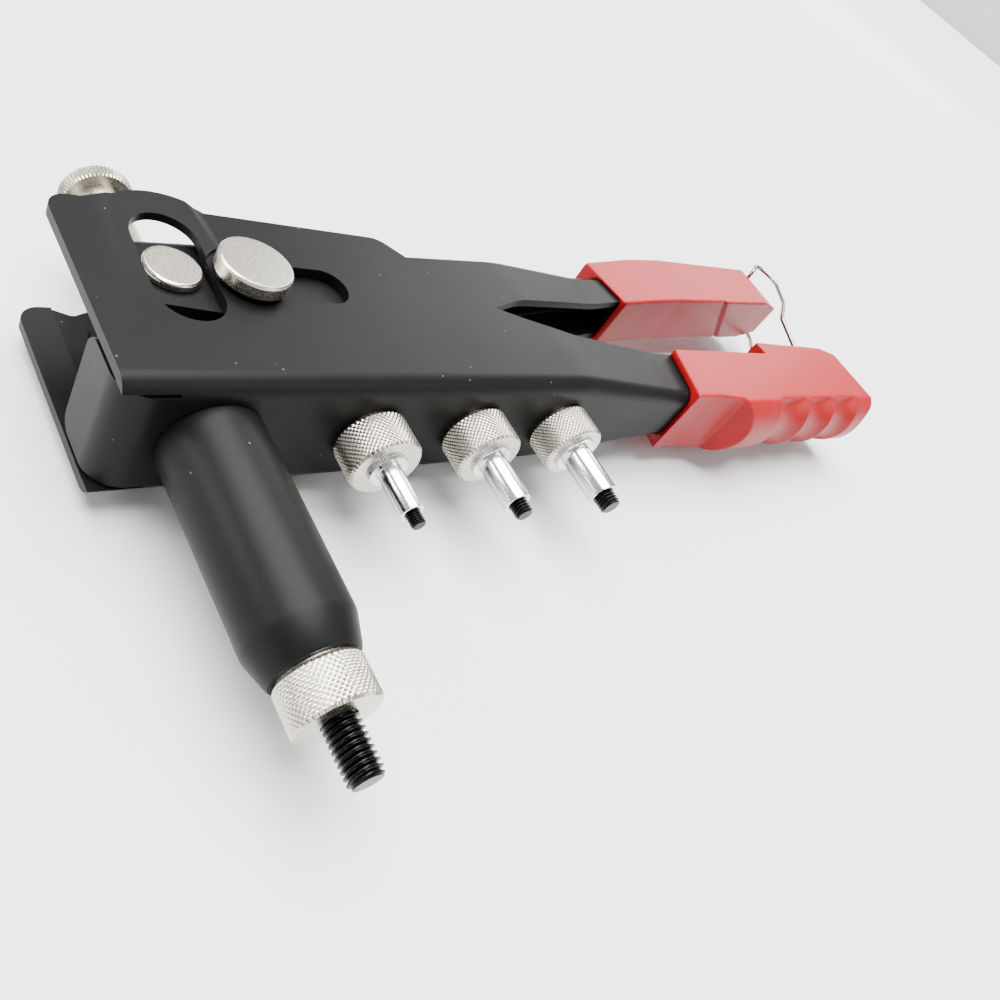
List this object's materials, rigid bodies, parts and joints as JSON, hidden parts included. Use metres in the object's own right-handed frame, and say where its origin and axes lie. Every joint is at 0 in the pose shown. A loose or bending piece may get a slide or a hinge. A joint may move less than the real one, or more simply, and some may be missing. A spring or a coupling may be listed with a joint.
{
  "type": "hand rivet nut setter",
  "caption": "Hand squeezed rivet nut setter: folded steel body and lever, round nose with threaded mandrel, spin knob, spare mandrels on the body, dipped grips and a wire latch.",
  "frame": {"origin": "on the nose axis, at the outer face of the body channel's web where the nose barrel leaves it", "axes": "+X along the handles, -Y along the nose towards the work, +Z out of the side plate that carries the fulcrum pin's head"},
  "size_m": [0.266, 0.1279, 0.0346],
  "materials": {
    "black_paint": "semi-gloss black powder coat over folded steel",
    "red_vinyl": "glossy red dipped and moulded vinyl",
    "nickel_plate": "warm satin nickel plate over turned and knurled steel",
    "black_oxide": "black oxide steel with a film of oil",
    "bright_aluminium": "bright drawn aluminium",
    "spring_steel": "bright spring wire",
    "plain_steel": "turned or milled steel, lightly oiled"
  },
  "bodies": {
    "frame": {"body_channel": "black_paint", "nose_barrel": "black_paint", "body_grip": "red_vinyl"},
    "draw": {"draw_block": "plain_steel", "thrust_washer": "plain_steel", "trunnion_near": "nickel_plate", "trunnion_far": "nickel_plate"},
    "lever": {"lever_channel": "black_paint", "lever_grip": "red_vinyl", "fulcrum_pin": "nickel_plate", "fulcrum_washer_near": "black_oxide", "fulcrum_washer_far": "black_oxide", "fulcrum_spacer": "plain_steel", "fulcrum_clip": "spring_steel"},
    "mandrel": {"mandrel_m6": "black_oxide", "mandrel_coupler": "plain_steel", "spin_knob": "nickel_plate"},
    "nose_cap": {"nose_cap": "nickel_plate"},
    "bail": {"wire_bail": "spring_steel"},
    "spare_m3": {"spare_cap_m3": "nickel_plate", "spare_mandrel_m3": "black_oxide", "rivet_nut_m3": "bright_aluminium"},
    "spare_m4": {"spare_cap_m4": "nickel_plate", "spare_mandrel_m4": "black_oxide", "rivet_nut_m4": "bright_aluminium"},
    "spare_m5": {"spare_cap_m5": "nickel_plate", "spare_mandrel_m5": "black_oxide", "rivet_nut_m5": "bright_aluminium"}
  },
  "joints": [
    {"name": "lever_swing", "type": "hinge", "parent": "draw", "child": "lever", "pos_m": [0, 0.0285, 0], "axis": [0, 0, 1], "range_deg": [0, 35]},
    {"name": "draw_slide", "type": "slide", "parent": "frame", "child": "draw", "axis": [0, -1, 0], "range_m": [0, 0.0079]},
    {"name": "mandrel_spin", "type": "hinge", "parent": "draw", "child": "mandrel", "pos_m": [0, 0.0285, 0], "axis": [0, 1, 0], "continuous": true},
    {"name": "nose_cap_turn", "type": "hinge", "parent": "frame", "child": "nose_cap", "pos_m": [0, -0.048, 0], "axis": [0, 1, 0], "continuous": true},
    {"name": "bail_swing", "type": "hinge", "parent": "frame", "child": "bail", "pos_m": [0.224, 0.009, 0], "axis": [0, 0, -1], "range_deg": [0, 60.1]},
    {"name": "spare_m3_turn", "type": "hinge", "parent": "frame", "child": "spare_m3", "pos_m": [0.0321, -0.004, 0], "axis": [0, 1, 0], "continuous": true},
    {"name": "spare_m4_turn", "type": "hinge", "parent": "frame", "child": "spare_m4", "pos_m": [0.0591, -0.004, 0], "axis": [0, 1, 0], "continuous": true},
    {"name": "spare_m5_turn", "type": "hinge", "parent": "frame", "child": "spare_m5", "pos_m": [0.0861, -0.004, 0], "axis": [0, 1, 0], "continuous": true}
  ],
  "couplings": [
    {"joint": "draw_slide", "follows": "lever_swing", "m_per_rad": 0.01282},
    {"joint": "bail_swing", "follows": "lever_swing", "ratio": 1.7143}
  ]
}
